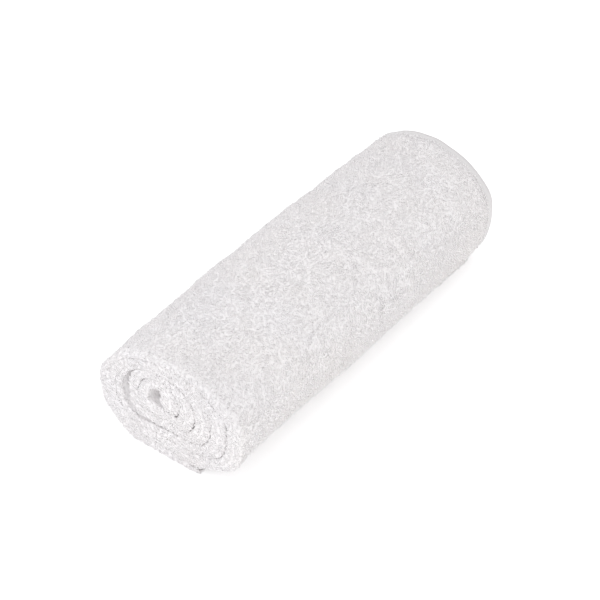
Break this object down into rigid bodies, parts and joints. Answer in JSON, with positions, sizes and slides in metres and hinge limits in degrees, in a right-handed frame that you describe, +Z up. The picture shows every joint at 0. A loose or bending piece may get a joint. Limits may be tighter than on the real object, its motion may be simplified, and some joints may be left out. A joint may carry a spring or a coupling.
{
  "type": "rolled bath towel",
  "caption": "White terry bath towel, folded lengthwise and rolled into a soft log, lying on its side with the free edge tucked under.",
  "frame": {"origin": "on the resting surface, under the middle of the roll's bounding box", "axes": "+Z up, +Y along the roll from the folded-edge end to the open-edge end, +X to the right as seen from the folded-edge end"},
  "size_m": [0.1318, 0.3494, 0.0991],
  "materials": {
    "white_terry": "soft cotton terry loops, matte"
  },
  "bodies": {
    "root": {"towel_roll": "white_terry"}
  },
  "joints": []
}
